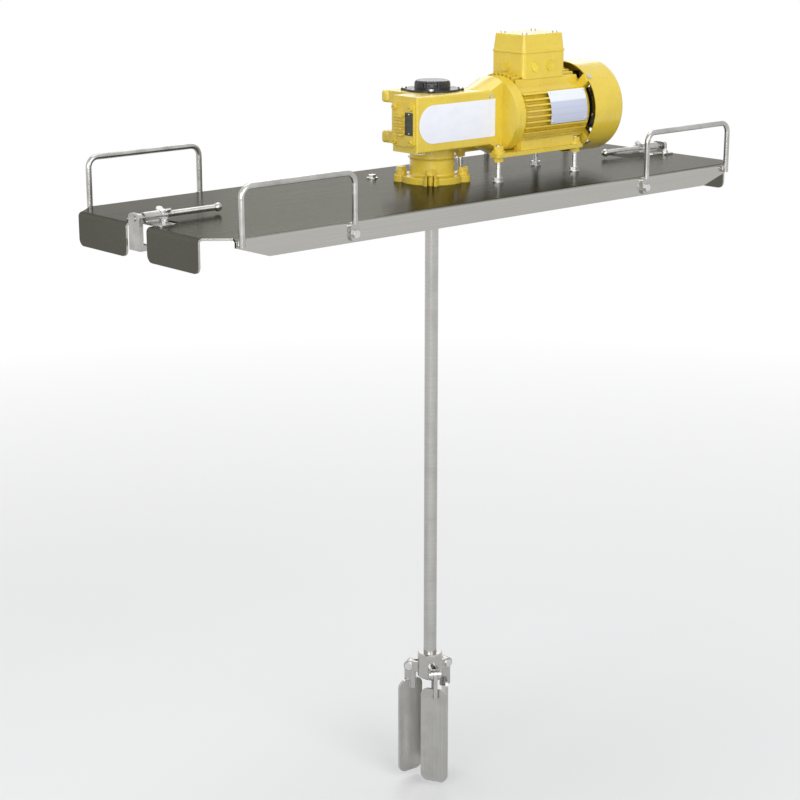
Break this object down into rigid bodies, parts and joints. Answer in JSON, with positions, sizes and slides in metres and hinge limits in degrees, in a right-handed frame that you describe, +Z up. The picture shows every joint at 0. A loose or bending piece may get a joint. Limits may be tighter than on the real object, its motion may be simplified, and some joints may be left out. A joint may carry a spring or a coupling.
{
  "type": "tank agitator",
  "caption": "Portable tote agitator: worm-geared electric motor on a hooked steel bridge plate, with a long shaft and a folding impeller.",
  "frame": {"origin": "centre of the underside of the bridge plate, where the bridge rests on the rails", "axes": "+Z up along the shaft, +X along the bridge towards the motor end, +Y to the back handles"},
  "size_m": [1.023, 0.344, 1.146],
  "materials": {
    "brushed_stainless": "brushed",
    "wire_stainless": "satin",
    "fastener_steel": "bright",
    "machined_steel": "ground",
    "bearing_steel": "polished",
    "lamination_steel": "matt",
    "cast_iron": "matt",
    "bronze": "machined",
    "copper_winding": "lacquered",
    "yellow_paint": "gloss",
    "yellow_plastic": "gloss",
    "black_plastic": "satin",
    "seal_rubber": "matt",
    "white_label": "satin",
    "grey_plate": "satin",
    "aluminium_plate": "satin"
  },
  "bodies": {
    "bridge_and_drive": {"bridge_plate": "brushed_stainless", "handle_front_left": "wire_stainless", "handle_front_right": "wire_stainless", "handle_back_left": "wire_stainless", "handle_back_right": "wire_stainless", "handle_fixings": "fastener_steel", "earth_bolt": "fastener_steel", "guide_screws": "fastener_steel", "latch_guide_left": "wire_stainless", "latch_guide_right": "wire_stainless", "output_flange": "yellow_paint", "flange_fixings": "yellow_paint", "output_bearings": "bearing_steel", "oil_seals": "seal_rubber", "worm_bearings": "bearing_steel", "gear_housing": "yellow_paint", "oil_plugs": "fastener_steel", "worm_end_cover": "yellow_paint", "gearbox_screws": "yellow_paint", "type_plate": "grey_plate", "gear_label": "white_label", "top_cover": "yellow_paint", "bore_cap": "black_plastic", "cap_screws": "fastener_steel", "motor_front_shield": "yellow_paint", "motor_bearings": "bearing_steel", "motor_housing": "yellow_paint", "motor_rear_shield": "yellow_paint", "stator_core": "lamination_steel", "stator_windings": "copper_winding", "fan_cowl": "yellow_paint", "cowl_screws": "fastener_steel", "terminal_box": "yellow_paint", "blanking_plugs": "yellow_plastic", "terminal_cover": "yellow_paint", "terminal_screws": "fastener_steel", "terminal_block": "black_plastic", "motor_plate": "aluminium_plate", "support_studs": "fastener_steel", "support_nuts": "fastener_steel"},
    "rotor": {"worm": "machined_steel", "coupling_sleeve": "machined_steel", "rotor_core": "lamination_steel", "motor_shaft": "machined_steel", "cooling_fan": "black_plastic"},
    "output_shaft": {"hollow_shaft": "machined_steel", "shaft_key": "machined_steel", "wheel_rim": "bronze", "wheel_hub": "cast_iron", "agitator_shaft": "wire_stainless", "retaining_bolt": "fastener_steel", "impeller_hub": "wire_stainless", "hinge_pins": "fastener_steel"},
    "blade_1": {"blade_1": "brushed_stainless"},
    "blade_2": {"blade_2": "brushed_stainless"},
    "blade_3": {"blade_3": "brushed_stainless"},
    "hook_rod_left": {"hook_rod_left": "wire_stainless"},
    "wing_nut_left": {"wing_nut_left": "fastener_steel"},
    "hook_rod_right": {"hook_rod_right": "wire_stainless"},
    "wing_nut_right": {"wing_nut_right": "fastener_steel"}
  },
  "joints": [
    {"name": "rotor_spin", "type": "hinge", "parent": "bridge_and_drive", "child": "rotor", "pos_m": [0.021, -0.0175, 0.0945], "axis": [1, 0, 0], "continuous": true},
    {"name": "shaft_spin", "type": "hinge", "parent": "bridge_and_drive", "child": "output_shaft", "pos_m": [0.021, 0.014, 0], "axis": [0, 0, 1], "continuous": true},
    {"name": "blade_1_fold", "type": "hinge", "parent": "output_shaft", "child": "blade_1", "pos_m": [0.053, 0.014, -0.756], "axis": [0, -1, 0], "range_deg": [0, 88]},
    {"name": "blade_2_fold", "type": "hinge", "parent": "output_shaft", "child": "blade_2", "pos_m": [0.005, 0.04171, -0.756], "axis": [0.866, 0.5, 0], "range_deg": [0, 88]},
    {"name": "blade_3_fold", "type": "hinge", "parent": "output_shaft", "child": "blade_3", "pos_m": [0.005, -0.01371, -0.756], "axis": [-0.866, 0.5, 0], "range_deg": [0, 88]},
    {"name": "wing_nut_left_turn", "type": "hinge", "parent": "bridge_and_drive", "child": "wing_nut_left", "pos_m": [-0.4657, 0, 0.0115], "axis": [-1, 0, 0], "range_deg": [-4610, 0]},
    {"name": "hook_rod_left_slide", "type": "slide", "parent": "bridge_and_drive", "child": "hook_rod_left", "axis": [-1, 0, 0], "range_m": [0, 0.016]},
    {"name": "wing_nut_right_turn", "type": "hinge", "parent": "bridge_and_drive", "child": "wing_nut_right", "pos_m": [0.4657, 0, 0.0115], "axis": [1, 0, 0], "range_deg": [-4610, 0]},
    {"name": "hook_rod_right_slide", "type": "slide", "parent": "bridge_and_drive", "child": "hook_rod_right", "axis": [1, 0, 0], "range_m": [0, 0.016]}
  ],
  "couplings": [
    {"joint": "shaft_spin", "follows": "rotor_spin", "ratio": -0.066667},
    {"joint": "wing_nut_left_turn", "follows": "hook_rod_left_slide", "rad_per_m": -5026.5},
    {"joint": "wing_nut_right_turn", "follows": "hook_rod_right_slide", "rad_per_m": -5026.5}
  ]
}
